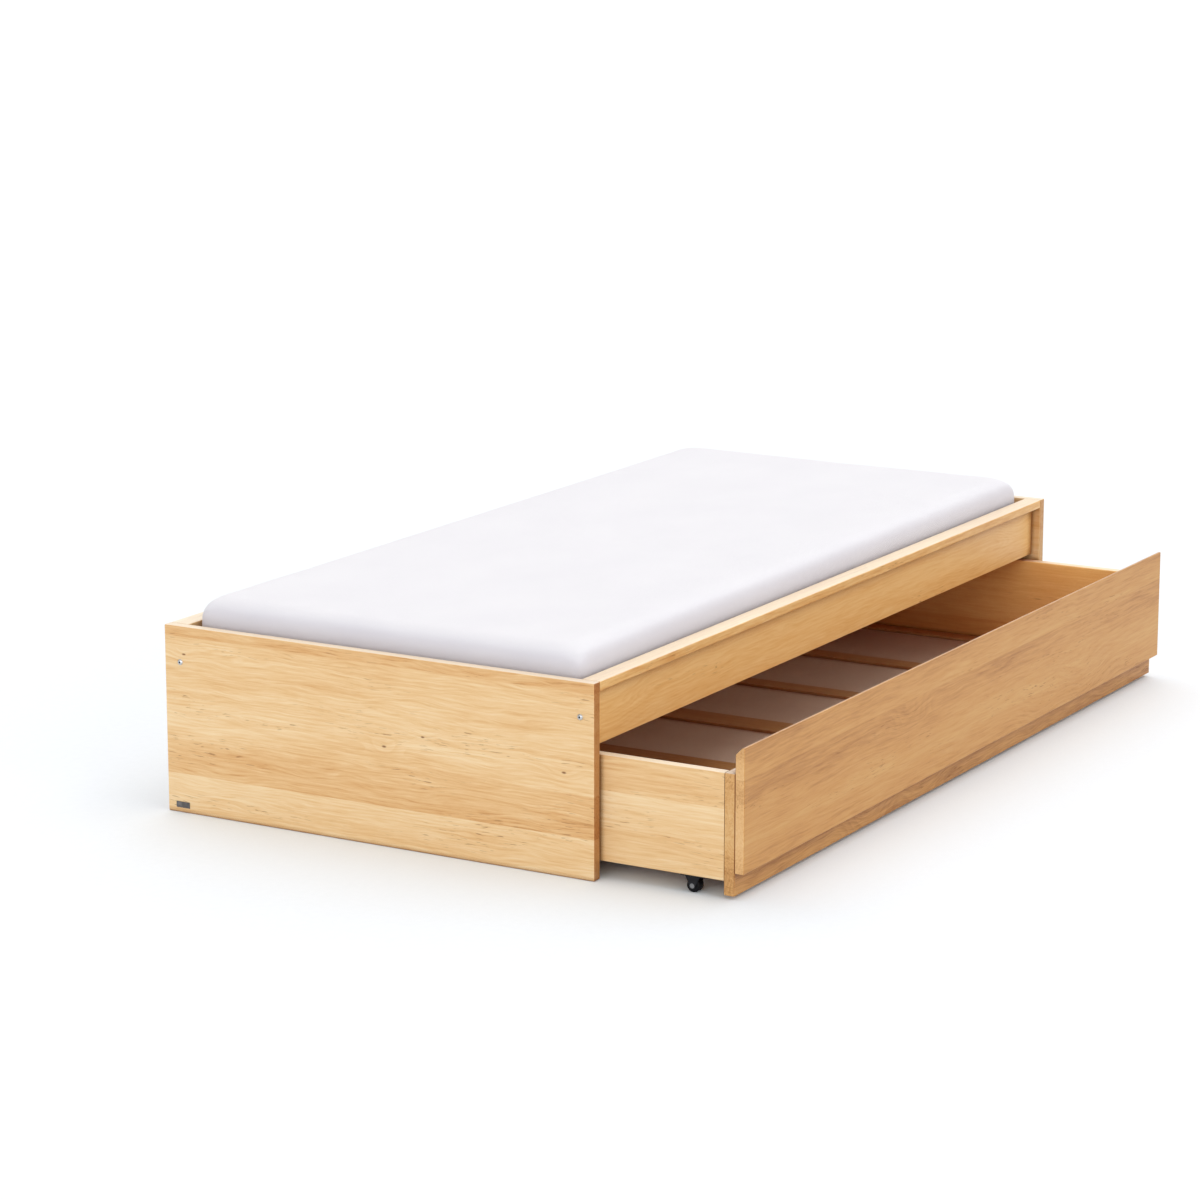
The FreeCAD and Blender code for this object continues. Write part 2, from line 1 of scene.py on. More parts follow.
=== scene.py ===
import math
from dataclasses import dataclass

import bpy
import numpy as np
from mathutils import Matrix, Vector


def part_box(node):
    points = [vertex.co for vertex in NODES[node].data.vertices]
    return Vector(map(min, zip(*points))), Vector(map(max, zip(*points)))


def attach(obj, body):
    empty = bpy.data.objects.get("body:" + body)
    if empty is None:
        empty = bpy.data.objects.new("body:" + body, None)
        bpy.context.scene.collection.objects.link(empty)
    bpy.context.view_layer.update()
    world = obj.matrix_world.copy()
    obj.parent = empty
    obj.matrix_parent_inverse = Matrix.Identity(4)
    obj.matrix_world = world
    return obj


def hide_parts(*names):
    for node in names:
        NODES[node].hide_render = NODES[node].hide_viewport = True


# ---------------------------------------------------------------- frame
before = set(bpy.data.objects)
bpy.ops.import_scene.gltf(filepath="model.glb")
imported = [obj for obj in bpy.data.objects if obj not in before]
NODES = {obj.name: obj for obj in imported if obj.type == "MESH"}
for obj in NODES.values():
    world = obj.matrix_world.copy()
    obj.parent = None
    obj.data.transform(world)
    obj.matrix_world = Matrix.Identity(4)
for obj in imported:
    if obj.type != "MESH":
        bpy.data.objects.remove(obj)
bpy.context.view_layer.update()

# ---------------------------------------------------------------- camera
CAMERA_PLACE = Vector((-6.8124, -3.7136, 2.0352))
CAMERA_AZIMUTH = math.radians(59.833)     # heading of the view, clockwise from +Y
CAMERA_ELEVATION = math.radians(-12.603)
CAMERA_LENS = 112.376                     # mm on a sensor of SENSOR mm
SENSOR = 36.0
VIEW_DISTANCE = 300

# ---------------------------------------------------------------- light
SKY = 0.62                                # even white dome
SUNS = {                                  # name: (strength, angle across in degrees, where it comes from)
    "key": (1.90, 90, (0.55, 0.12, 1.0)),
    "foot_side": (1.58, 60, (-1.0, -0.15, 0.12)),
    "drawer_side": (0.95, 60, (-0.15, -1.0, 0.15)),
}


def add_camera():
    data = bpy.data.cameras.new("camera")
    data.lens = CAMERA_LENS
    data.sensor_width = SENSOR
    data.clip_end = VIEW_DISTANCE
    camera = bpy.data.objects.new("camera", data)
    heading = Vector((math.sin(CAMERA_AZIMUTH) * math.cos(CAMERA_ELEVATION),
                      math.cos(CAMERA_AZIMUTH) * math.cos(CAMERA_ELEVATION),
                      math.sin(CAMERA_ELEVATION)))
    camera.location = CAMERA_PLACE
    camera.rotation_euler = heading.to_track_quat("-Z", "Y").to_euler()
    bpy.context.scene.collection.objects.link(camera)
    bpy.context.scene.camera = camera


def add_lights():
    world = bpy.data.worlds.new("studio")
    bpy.context.scene.world = world
    world.use_nodes = True
    background = world.node_tree.nodes["Background"]
    background.inputs["Color"].default_value = (1, 1, 1, 1)
    background.inputs["Strength"].default_value = SKY
    for name, (strength, angle, source) in SUNS.items():
        data = bpy.data.lights.new(name, "SUN")
        data.energy = strength
        data.angle = math.radians(angle)
        sun = bpy.data.objects.new(name, data)
        sun.rotation_euler = Vector(source).to_track_quat("Z", "Y").to_euler()
        bpy.context.scene.collection.objects.link(sun)


# ---------------------------------------------------------------- node helpers
class Tree:
    """A material's node tree, with short calls for the nodes used here."""

    def __init__(self, name):
        self.material = bpy.data.materials.new(name)
        self.material.use_nodes = True
        self.tree = self.material.node_tree
        self.shader = self.tree.nodes["Principled BSDF"]
        coordinates = self.node("ShaderNodeTexCoord").outputs
        self.place = self.split(coordinates["Object"])
        self.normal = self.split(coordinates["Normal"])

    def node(self, kind, **settings):
        node = self.tree.nodes.new(kind)
        for key, value in settings.items():
            setattr(node, key, value)
        return node

    def plug(self, socket, value):
        if isinstance(value, bpy.types.NodeSocket):
            self.tree.links.new(value, socket)
        else:
            socket.default_value = value

    def math(self, operation, *values):
        node = self.node("ShaderNodeMath", operation=operation)
        for socket, value in zip(node.inputs, values):
            self.plug(socket, value)
        return node.outputs[0]

    def add(self, *values):
        total = values[0]
        for value in values[1:]:
            total = self.math("ADD", total, value)
        return total

    def sub(self, a, b):
        return self.math("SUBTRACT", a, b)

    def mul(self, a, b):
        return self.math("MULTIPLY", a, b)

    def madd(self, a, b, c):
        return self.math("MULTIPLY_ADD", a, b, c)

    def most(self, a, b):
        return self.math("MAXIMUM", a, b)

    def wave(self, value, pitch):
        return self.math("SINE", self.mul(value, 2 * math.pi / pitch))

    def step(self, value, start, end):
        """A soft step from 0 at start to 1 at end, either of which may be the larger."""
        node = self.node("ShaderNodeMapRange", interpolation_type="SMOOTHSTEP")
        self.plug(node.inputs["Value"], value)
        node.inputs["From Min"].default_value = start
        node.inputs["From Max"].default_value = end
        return node.outputs["Result"]

    def split(self, vector):
        node = self.node("ShaderNodeSeparateXYZ")
        self.plug(node.inputs[0], vector)
        return node.outputs[0], node.outputs[1], node.outputs[2]

    def join(self, x, y, z):
        node = self.node("ShaderNodeCombineXYZ")
        for socket, value in zip(node.inputs, (x, y, z)):
            self.plug(socket, value)
        return node.outputs[0]

    def noise(self, vector, detail=2.0, roughness=0.5):
        node = self.node("ShaderNodeTexNoise")
        self.plug(node.inputs["Vector"], vector)
        node.inputs["Scale"].default_value = 1.0
        node.inputs["Detail"].default_value = detail
        node.inputs["Roughness"].default_value = roughness
        return node.outputs[0]

    def cloud(self, scales, start=0.0, **kind):
        """Noise over the whole object, in cycles per metre: one number, or one for each of x, y and z."""
        x_scale, y_scale, z_scale = scales if isinstance(scales, tuple) else (scales,) * 3
        x, y, z = self.place
        return self.noise(self.join(self.madd(x, x_scale, start), self.mul(y, y_scale),
                                    self.mul(z, z_scale)), **kind)

    def ramp(self, value, stops, interpolation="LINEAR"):
        node = self.node("ShaderNodeValToRGB")
        ramp = node.color_ramp
        ramp.interpolation = interpolation
        while len(ramp.elements) < len(stops):
            ramp.elements.new(1.0)
        for element, (place, colour) in zip(ramp.elements, stops):
            element.position = place
            element.color = (*colour, 1.0)
        self.plug(node.inputs[0], value)
        return node.outputs["Color"]

    def mix(self, factor, a, b, blend="MIX"):
        node = self.node("ShaderNodeMix", data_type="RGBA", blend_type=blend)
        self.plug(node.inputs["Factor"], factor)
        for socket, value in ((node.inputs[6], a), (node.inputs[7], b)):
            self.plug(socket, value if isinstance(value, bpy.types.NodeSocket) else (*value, 1.0))
        return node.outputs[2]

    def tinted(self, factor, colour, tint):
        """The colour multiplied by the tint, as far as the factor says."""
        return self.mix(factor, colour, tint, "MULTIPLY")

    def openness(self, reach):
        """0 deep in a joint or crevice, 1 where nothing is nearer than reach."""
        node = self.node("ShaderNodeAmbientOcclusion", samples=6)
        node.inputs["Distance"].default_value = reach
        return node.outputs["AO"]

    def bump(self, height, distance, strength):
        node = self.node("ShaderNodeBump")
        node.inputs["Distance"].default_value = distance
        node.inputs["Strength"].default_value = strength
        self.plug(node.inputs["Height"], height)
        self.plug(self.shader.inputs["Normal"], node.outputs[0])

    def put(self, socket, value):
        """Link a value to the shader's socket, or set it there."""
        self.plug(self.shader.inputs[socket], value)


# ---------------------------------------------------------------- wood
PALE = (0.78, 0.585, 0.345)
HONEY = (0.715, 0.475, 0.235)
TAN = (0.62, 0.345, 0.135)
BROWN = (0.40, 0.185, 0.055)
GRAIN_COLOURS = [(0.0, PALE), (0.36, HONEY), (0.72, TAN), (1.0, BROWN)]
FLECK = (0.27, 0.115, 0.033)
KNOT = (0.19, 0.070, 0.02)
TOP_PAINTED_SHEEN = (0.855, 0.835, 0.735)          # painted highlight: upward faces lean to this paler cream, the light from above and its glare painted into their colour

# tints, which multiply the wood's colour
END_GRAIN = (0.74, 0.62, 0.48)
DARK_END = (0.59, 0.40, 0.25)
LIGHT_END = (0.92, 0.90, 0.82)
PALE_END = (1.02, 1.06, 1.12)
AMBER = (1.07, 0.93, 0.67)                # boards on which the oil has gone more amber
# partly the front boards' own deeper oil colour, partly painted warm shade on the boards that face the
# dimmer light
AMBER_AND_PAINTED_SHADE = (0.815, 0.705, 0.48)
CAP_AMBER = (1.01, 0.90, 0.68)
RED_AMBER = (1.02, 0.92, 0.83)
# painted light: the drawer's inside faces, lit warm orange by the light bouncing inside the drawer
ORANGE_PAINTED_LIGHT = (1.25, 1.04, 0.66)
# painted shade: darkens joints, the space under overhanging boards and the glued seams on boards' ends
JOINT_PAINTED_SHADE = (0.45, 0.32, 0.22)
WARM_SHADE = (0.56, 0.21, 0.10)           # boards inside the drawer, where little is open above them
PANEL_SHADE = (0.46, 0.205, 0.135)        # the drawer's bottom panels, likewise

# where soft steps begin and end
SHADE_REACH = 0.35                        # metres over which the drawer's inside looks for cover
BOARD_SHADE = (0.66, 0.19)
PANEL_SHADE_EDGES = (0.52, 0.21)
DASH_EDGES = (0.62, 0.69)
END_EDGES = (0.62, 0.86)                  # of the normal along the grain
INNER_EDGES = (0.7, 0.3)                  # of the normal away from the drawer's inside
UP_EDGES = (0.5, 0.95)
SEAM_EDGES = (0.0019, 0.0007)             # metres from the glued face, where a thin line of painted shade runs
# openness at which the painted shade in joints starts and is full
JOINT_SHADE_EDGES = (0.90, 0.45)
OVERHANG_SHADE_EDGES = (0.91, 0.62)             # painted shade, stronger under an overhanging board
UNSHADED_FADE = 0.010

# grain
RING_PITCH = 0.0062
RING_SWAY = 0.035                         # metres by which slow noise moves the rings
RING_WOBBLE = 0.005                       # and wander
RING_RISE = 2.2                           # a ring darkens slowly towards its end
RING_FALL = 14.0                          # and turns pale again in a sharp line
PITH_SPREAD = 0.07                        # metres by which the staves' piths differ
PITH_DEPTH = 0.018                        # the nearest pith's distance from the board's middle
BEND = 0.030                              # metres by which the grain wanders at a figure of 1
STREAK_PUSH = 0.7                         # the share of a knot's push that moves the streaks
TILT = 5.0                                # spread of the tone's slope, per metre across a stave
NOISE_SHARES = (0.35, 0.52, 0.85, 0.80)   # of slow, patch, streak and fibre in the tone
RING_SHARES = (0.08, 0.08)                # of the rings: always, and more with the figure
FLECK_CLUSTERS = ((0.58, 0.14), (0.72, 0.10))    # a step's ends, each less this much times flecks
KNOT_STRETCH = 0.45                       # a knot's length along the grain counts this much
KNOT_REACH = 7.0                          # times a knot's size, where its grain is straight again
KNOT_PUSH = 2.6                           # times its size, the push on the grain at its middle
CORE_WOBBLE = 0.9
CORE_EDGES = (0.35, -0.25)
FLECK_STRENGTH = 0.66
KNOT_STRENGTH = 0.90


@dataclass
class Grain:
    """Noise stretched along the grain: cycles per metre along it, across it and through the board."""
    along: float
    across: float
    deep: float
    detail: float
    roughness: float = 0.5
    seed_shift: float = 1.0               # how far the board's seed moves the noise along the grain
    stave_shift: float = 0.0              # how far a stave's own number moves it across
    deep_shift: float = 0.0               # how far the seed moves it through the board
    start: float = 0.0
    side: float = 0.0


SLOW = Grain(1.7, 7.0, 9.0, detail=2.0, seed_shift=3.1, stave_shift=30.0, deep_shift=1.0)
WANDER = Grain(6.0, 26.0, 20.0, detail=2.0, seed_shift=5.7, stave_shift=17.0)
PATCH = Grain(2.3, 24.0, 24.0, detail=3.0, roughness=0.55, seed_shift=4.3, stave_shift=23.0)
STREAK = Grain(8.5, 155.0, 70.0, detail=5.0, roughness=0.70, stave_shift=41.0)
FIBRE = Grain(14.0, 320.0, 320.0, detail=4.0, roughness=0.65)
DASH = Grain(32.0, 400.0, 400.0, detail=2.0, roughness=0.45, seed_shift=2.0, side=5.0)
CLUSTER = Grain(3.3, 13.0, 1.0, detail=1.0, seed_shift=9.0, stave_shift=9.0, start=4.0)


class Wood(Tree):
    """Oiled edge-glued alder on one board.

    axes: which of x, y, z run along the grain, across it and through the board.
    staves: each stave's upper edge across the grain, in metres, and its tone from 0 pale to 1 brown.
    knots, swirls: (place along, place across, size) in metres; a swirl is a knot's grain without its core.
    flecks, figure, contrast: how common dark flecks are, how the grain bends and how strongly it shows.
    ends, tint: what multiplies the colour of the board's ends and of its other faces; some tints partly
    paint light or shade onto them.
    top: how far upward faces lean to their paler colour, a painted highlight.
    seam: "low" or "high", the glued face through the board along which its ends show a dark line of painted
    shade.
    reach, grime: how far joints are looked for, and the openness at which their painted shade starts and is
    full.
    clean_below: the height under which there is no painted joint shade.
    inner: 1 or -1, the way through the board that looks into the drawer."""

    def __init__(self, name, node, axes, staves, seed, knots=(), swirls=(), flecks=0.5, figure=0.5,
                 contrast=1.0, ends=END_GRAIN, tint=None, top=0.50, seam=None, reach=0.012,
                 grime=JOINT_SHADE_EDGES, clean_below=None, inner=None):
        super().__init__(name)
        self.seed = seed
        self.low, self.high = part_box(node)
        self.along_axis, self.across_axis, self.deep_axis = ("xyz".index(axis) for axis in axes)
        self.along = self.place[self.along_axis]
        self.across = self.place[self.across_axis]
        self.deep = self.place[self.deep_axis]
        self.set_staves(staves)
        slow = self.stretched(SLOW, self.across)
        wander = self.stretched(WANDER, self.across)
        push, core, busy = self.knots(knots, swirls, wander, max(0.0, flecks))
        ring = self.rings(slow, wander, push)
        bent = self.add(self.across, self.mul(self.sub(wander, 0.5), BEND * figure),
                        self.mul(push, STREAK_PUSH))
        streak = self.stretched(STREAK, bent)
        fibre = self.stretched(FIBRE, bent)

        tone = self.madd(self.from_pith, self.mul(self.sub(self.other, 0.5), TILT), self.tone)
        for noise, share in zip((slow, self.stretched(PATCH, bent), streak, fibre), NOISE_SHARES):
            tone = self.madd(self.sub(noise, 0.5), share * contrast, tone)
        always, figured = RING_SHARES
        tone = self.madd(ring, (always + figured * figure) * contrast, tone)
        colour = self.ramp(tone, GRAIN_COLOURS)

        cluster = self.step(self.stretched(CLUSTER, self.across),
                            *(end - less * flecks for end, less in FLECK_CLUSTERS))
        spots = self.mul(self.step(self.stretched(DASH, bent), *DASH_EDGES), self.most(busy, cluster))
        colour = self.mix(self.mul(spots, FLECK_STRENGTH), colour, FLECK)
        if knots:
            colour = self.mix(self.mul(core, KNOT_STRENGTH), colour, KNOT)

        end = self.step(self.math("ABSOLUTE", self.normal[self.along_axis]), *END_EDGES)
        inside = 1.0
        if inner:
            inside = self.step(self.mul(self.normal[self.deep_axis], -inner), *INNER_EDGES)
        # the tint on the board's faces but not its ends, and inside the drawer only on its inner faces; on
        # some boards it is painted light or shade
        if tint:
            colour = self.tinted(self.mul(inside, self.sub(1.0, end)), colour, tint)
        # painted highlight: upward faces turn paler, as the light from above falls on them
        colour = self.mix(self.mul(self.step(self.normal[2], *UP_EDGES), top), colour, TOP_PAINTED_SHEEN)
        colour = self.tinted(end, colour, ends)
        # painted shade in joints, under overhanging boards and along glued seams
        colour = self.tinted(self.painted_joint_shade(reach, grime, clean_below, seam, end), colour, JOINT_PAINTED_SHADE)
        if inner:
            covered = self.step(self.openness(SHADE_REACH), *BOARD_SHADE)
            colour = self.tinted(self.mul(covered, inside), colour, WARM_SHADE)

        self.put("Base Color", colour)
        self.put("Roughness", self.madd(streak, 0.16, self.madd(spots, 0.12, 0.34)))
        self.put("Specular IOR Level", 0.30)
        self.put("Coat Weight", 0.06)
        self.put("Coat Roughness", 0.30)
        height = self.add(self.mul(fibre, 0.6), self.mul(ring, 0.25), self.mul(spots, -0.5),
                          self.mul(core, -0.5))
        self.bump(height, 0.00028, 0.8)

    def set_staves(self, staves):
        """For the stave at a point: its tone, two numbers of its own and the distance from its pith."""
        low = self.low[self.across_axis]
        span = self.high[self.across_axis] - low
        rng = np.random.default_rng(int(self.seed * 1000) + 7)
        stops = []
        lower = low
        for upper, tone in staves:
            own = float(rng.uniform(0.05, 0.95))
            middle = ((lower + upper) / 2 - low) / span
            stops.append((max(0.0, (lower - low) / span), (tone, own, middle)))
            lower = upper
        share = self.madd(self.across, 1 / span, -low / span)
        self.tone, self.own, middle = self.split(self.ramp(share, stops, "CONSTANT"))
        self.other = self.math("FRACT", self.mul(self.own, 7.31))
        self.from_pith = self.madd(self.sub(share, middle), span,
                                   self.mul(self.sub(self.own, 0.5), PITH_SPREAD))

    def stretched(self, grain, across):
        shift = self.madd(self.own, grain.stave_shift, grain.side)
        vector = self.join(self.madd(self.along, grain.along, self.seed * grain.seed_shift + grain.start),
                           self.madd(across, grain.across, shift),
                           self.madd(self.deep, grain.deep, self.seed * grain.deep_shift))
        return self.noise(vector, detail=grain.detail, roughness=grain.roughness)

    def knots(self, knots, swirls, wander, flecks):
        """How far knots and swirls push the grain aside, the knots' cores, and the flecks round swirls."""
        push = core = busy = 0.0
        for is_knot, places in ((True, knots), (False, swirls)):
            for along, across, size in places:
                du = self.mul(self.sub(self.along, along), KNOT_STRETCH)
                dv = self.sub(self.across, across)
                distance = self.math("SQRT", self.add(self.mul(du, du), self.mul(dv, dv)))
                near = self.step(distance, size * KNOT_REACH, 0.0)
                push = self.madd(near, size * KNOT_PUSH, push)
                if is_knot:
                    ragged = self.madd(wander, -size * CORE_WOBBLE, distance)
                    core = self.most(core, self.step(ragged, *(size * edge for edge in CORE_EDGES)))
                else:
                    busy = self.most(busy, self.mul(near, flecks))
        return push, core, busy

    def rings(self, slow, wander, push):
        """Growth rings round each stave's own pith."""
        board_middle = (self.low[self.deep_axis] + self.high[self.deep_axis]) / 2
        v = self.from_pith
        w = self.add(self.sub(self.deep, board_middle), self.madd(self.other, PITH_SPREAD, PITH_DEPTH))
        radius = self.math("SQRT", self.add(self.mul(v, v), self.mul(w, w)))
        radius = self.add(radius, self.mul(slow, RING_SWAY), self.mul(wander, RING_WOBBLE), push)
        ring = self.math("FRACT", self.mul(radius, 1 / RING_PITCH))
        return self.mul(self.math("POWER", ring, RING_RISE),
                        self.sub(1.0, self.math("POWER", ring, RING_FALL)))

    # painted shade: how dark joints, overhangs and glued seams are painted
    def painted_joint_shade(self, reach, grime, clean_below, seam, end):
        painted_joint_shade = self.step(self.openness(reach), *grime)
        if clean_below:
            painted_joint_shade = self.mul(painted_joint_shade, self.step(self.place[2], clean_below, clean_below + UNSHADED_FADE))
        if seam:
            glued = {"low": self.low, "high": self.high}[seam][self.deep_axis]
            distance = self.math("ABSOLUTE", self.sub(self.deep, glued))
            painted_joint_shade = self.most(painted_joint_shade, self.mul(end, self.step(distance, *SEAM_EDGES)))
        return painted_joint_shade


def paint(node, tree):
    mesh = NODES[node].data
    mesh.materials.clear()
    mesh.materials.append(tree.material)


def paint_board(node, name, axes, staves, seed, **look):
    paint(node, Wood(name, node, axes, staves, seed, **look))


def paint_bed_boards():
    paint_board("foot_panel", "alder_foot", "yzx",
                [(0.080, 0.26), (0.162, 0.52), (0.215, 0.20), (0.359, 0.28), (0.380, 0.62)], seed=1.3,
                knots=[(0.125, 0.199, 0.0038), (0.037, 0.229, 0.0028), (-0.275, 0.202, 0.0036),
                       (0.594, 0.324, 0.0030)],
                flecks=0.75, figure=1.0, contrast=1.12, ends=DARK_END)
    paint_board("head_panel", "alder_head", "yzx",
                [(0.066, 0.35), (0.150, 0.20), (0.242, 0.48), (0.310, 0.24), (0.380, 0.40)], seed=2.9,
                knots=[(0.31, 0.19, 0.004), (-0.12, 0.28, 0.003)], flecks=0.6, figure=0.7)
    # the rail sits under the cap's overhang, so its painted shade reaches further and is stronger
    paint_board("front_rail", "alder_front_rail", "xzy", [(0.361, 0.15)], seed=4.1,
                swirls=[(-0.93, 0.30, 0.012), (0.93, 0.33, 0.010)], flecks=-0.3, figure=1.0, tint=AMBER,
                reach=0.030, grime=OVERHANG_SHADE_EDGES)
    paint_board("rear_rail", "alder_rear_rail", "xzy", [(0.361, 0.30)], seed=5.2, figure=0.6)
    paint_board("front_cap", "alder_front_cap", "xyz", [(-0.300, 0.42)], seed=6.4, figure=0.4,
                contrast=1.6, tint=CAP_AMBER)
    paint_board("rear_cap", "alder_rear_cap", "xyz", [(0.640, 0.34)], seed=7.7, figure=0.4, contrast=1.6)
    paint_board("front_ledge", "ledge_front", "xzy", [(0.277, 0.4)], seed=8.1)
    paint_board("rear_ledge", "ledge_rear", "xzy", [(0.277, 0.3)], seed=8.9)
    for i in range(1, 13):
        slat = f"slat_{i:02d}"
        tone = 0.12 + 0.05 * (i * 5 % 7)
        paint_board(slat, "wood_" + slat, "yxz", [(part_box(slat)[1].x, tone)], seed=10.0 + i * 1.37,
                    figure=0.3)
    paint_board("rail_dowels", "beech_rail_dowels", "xzy", [(1.0, 0.2)], seed=41.0)


def paint_drawer_boards():
    paint_board("drawer_face", "alder_face", "xzy",
                [(0.108, 0.71), (0.183, 0.67), (0.229, 0.76), (0.2906, 0.72)], seed=23.2,
                swirls=[(0.34, 0.075, 0.010), (0.55, 0.09, 0.014), (-0.30, 0.20, 0.008)],
                flecks=0.7, figure=0.6, contrast=0.62, ends=PALE_END, tint=AMBER_AND_PAINTED_SHADE, top=0.1, seam="high")
    # the front board sits under the drawer face's overhang: stronger painted shade below the face, none
    # near the floor
    paint_board("drawer_front_board", "alder_front_board", "xzy",
                [(0.060, 0.80), (0.140, 0.60), (0.240, 0.66)], seed=24.6,
                swirls=[(-0.45, 0.03, 0.010), (-0.2, 0.035, 0.008)],
                flecks=0.9, figure=1.0, contrast=0.8, ends=LIGHT_END, tint=AMBER_AND_PAINTED_SHADE, seam="low",
                reach=0.026, grime=OVERHANG_SHADE_EDGES, clean_below=0.022)
    paint_board("drawer_back_board", "alder_back_board", "xzy", [(0.110, 0.40), (0.240, 0.30)], seed=25.1)
    paint_board("drawer_side_foot", "alder_side_foot", "yzx",
                [(0.102, 0.28), (0.171, 0.24), (0.240, 0.32)], seed=26.4, flecks=0.9)
    # its inner faces get painted warm light, and painted shade where they are covered
    paint_board("drawer_side_head", "alder_side_head", "yzx",
                [(0.090, 0.26), (0.160, 0.12), (0.240, 0.12)], seed=27.8, flecks=0.2,
                tint=ORANGE_PAINTED_LIGHT, inner=-1)
    for i in range(1, 8):
        batten = f"drawer_batten_{i}"
        tone = 0.26 + 0.05 * (i * 3 % 5)
        paint_board(batten, "wood_" + batten, "yxz", [(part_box(batten)[1].x, tone)], seed=30.0 + i * 1.91,
                    figure=0.4, tint=RED_AMBER, top=0.0, inner=1)
    paint_board("drawer_dowels", "beech_drawer_dowels", "xzy", [(1.0, 0.2)], seed=41.0)


# ---------------------------------------------------------------- other materials
CREVICE_SHADE = (0.06, 0.06, 0.07)              # painted shade: multiplies steel's colour deep in a socket or joint
PANEL_COLOURS = [(0.3, (0.79, 0.61, 0.49)), (0.7, (0.93, 0.75, 0.62))]
TAPE_COLOURS = [(0.0, (0.50, 0.48, 0.44)), (1.0, (0.72, 0.70, 0.66))]
TAPE_RIB = 0.0021
TAPE_CROSS = 0.0016
FABRIC_COLOURS = [(0.15, (0.695, 0.680, 0.712)), (0.6, (0.745, 0.731, 0.755))]
SIDE_PAINTED_SHADE = (0.89, 0.88, 0.905)           # painted shade: multiplies the cover's colour on its upright sides, which the light from above reaches less
SIDE_SLOPES = (0.98, 0.30)                # the upward normal where that starts and is full
WEAVE_PITCH = 0.0016


def steel(name, tint, rough):
    t = Tree(name)
    cloudy = t.cloud(160, detail=4.0, roughness=0.6)
    fine = t.cloud(2500)
    dull = tuple(0.72 * c for c in tint)
    colour = t.mix(t.step(cloudy, 0.35, 0.7), tint, dull)
    # painted shade deep in sockets and joints
    t.put("Base Color", t.tinted(t.step(t.openness(0.004), 0.75, 0.35), colour, CREVICE_SHADE))
    t.put("Metallic", 1.0)
    t.put("Roughness", t.madd(cloudy, 0.18, rough))
    t.bump(t.add(t.mul(fine, 0.4), cloudy), 0.00004, 0.6)
    return t


def plastic(name, tint, rough):
    t = Tree(name)
    cloudy = t.cloud(90, detail=3.0)
    worn = tuple(1.6 * c + 0.004 for c in tint)
    t.put("Base Color", t.mix(t.step(cloudy, 0.42, 0.75), tint, worn))
    t.put("Roughness", t.madd(cloudy, 0.2, rough))
    t.put("Specular IOR Level", 0.10)
    t.bump(t.cloud(1800), 0.00006, 0.7)
    return t


def hardboard(name, seed):
    t = Tree(name)
    cloudy = t.cloud(9, start=seed, detail=4.0)
    speck = t.cloud(900, start=seed, detail=3.0, roughness=0.7)
    colour = t.ramp(t.add(t.mul(cloudy, 0.5), t.mul(speck, 0.5)), PANEL_COLOURS)
    covered = t.step(t.openness(SHADE_REACH), *PANEL_SHADE_EDGES)
    t.put("Base Color", t.tinted(covered, colour, PANEL_SHADE))
    t.put("Roughness", t.madd(cloudy, 0.2, 0.40))
    t.bump(speck, 0.00005, 0.6)
    return t


def webbing(name):
    t = Tree(name)
    x, y, _ = t.place
    cell = t.mul(t.wave(y, TAPE_RIB), t.wave(x, TAPE_CROSS))
    t.put("Base Color", t.ramp(t.madd(cell, 0.5, 0.5), TAPE_COLOURS))
    t.put("Roughness", 0.85)
    t.bump(cell, 0.0003, 0.8)
    return t


def mattress_fabric():
    t = Tree("mattress_fabric")
    x, y, z = t.place
    weave = t.mul(t.wave(t.add(x, z), WEAVE_PITCH), t.wave(t.add(y, t.mul(z, -1.0)), WEAVE_PITCH))
    nub = t.cloud(420, detail=3.0)
    soft = t.cloud((5, 7, 7), detail=3.0)
    colour = t.ramp(t.add(t.mul(soft, 0.5), t.mul(nub, 0.2), t.mul(weave, 0.06)), FABRIC_COLOURS)
    top, side = SIDE_SLOPES
    upright = t.madd(t.normal[2], -1 / (top - side), top / (top - side))
    # painted shade on the cover's upright sides
    t.put("Base Color", t.tinted(t.math("MINIMUM", t.most(upright, 0.0), 1.0), colour, SIDE_PAINTED_SHADE))
    t.put("Roughness", 0.85)
    t.put("Sheen Weight", 0.18)
    t.put("Sheen Roughness", 0.5)
    t.bump(t.add(t.mul(weave, 0.4), t.mul(nub, 0.5), t.mul(soft, 1.5)), 0.00045, 0.6)
    return t


def paint_fittings():
    zinc = steel("zinc_steel", (0.66, 0.67, 0.68), 0.26)
    screw = steel("screw_steel", (0.60, 0.58, 0.50), 0.32)
    fork = plastic("fork_plastic", (0.013, 0.013, 0.015), 0.42)
    tyre = plastic("wheel_tyre", (0.005, 0.005, 0.006), 0.36)
    for node in ("bed_bolts", "barrel_nuts"):
        paint(node, zinc)
    for node in ("ledge_screws", "slat_screws", "face_screws", "castor_screws"):
        paint(node, screw)
    for corner in ("foot_front", "foot_back", "head_front", "head_back"):
        paint("castor_bracket_" + corner, fork)
        paint("castor_wheel_" + corner, tyre)
    paint("castor_axles", steel("axle_steel", (0.28, 0.28, 0.29), 0.45))
    paint("label_plate", plastic("plate_metal", (0.10, 0.095, 0.095), 0.34))
    paint("slat_tapes", webbing("webbing"))
    for i in range(1, 7):
        paint(f"drawer_panel_{i}", hardboard(f"hardboard_{i}", i * 3.7))


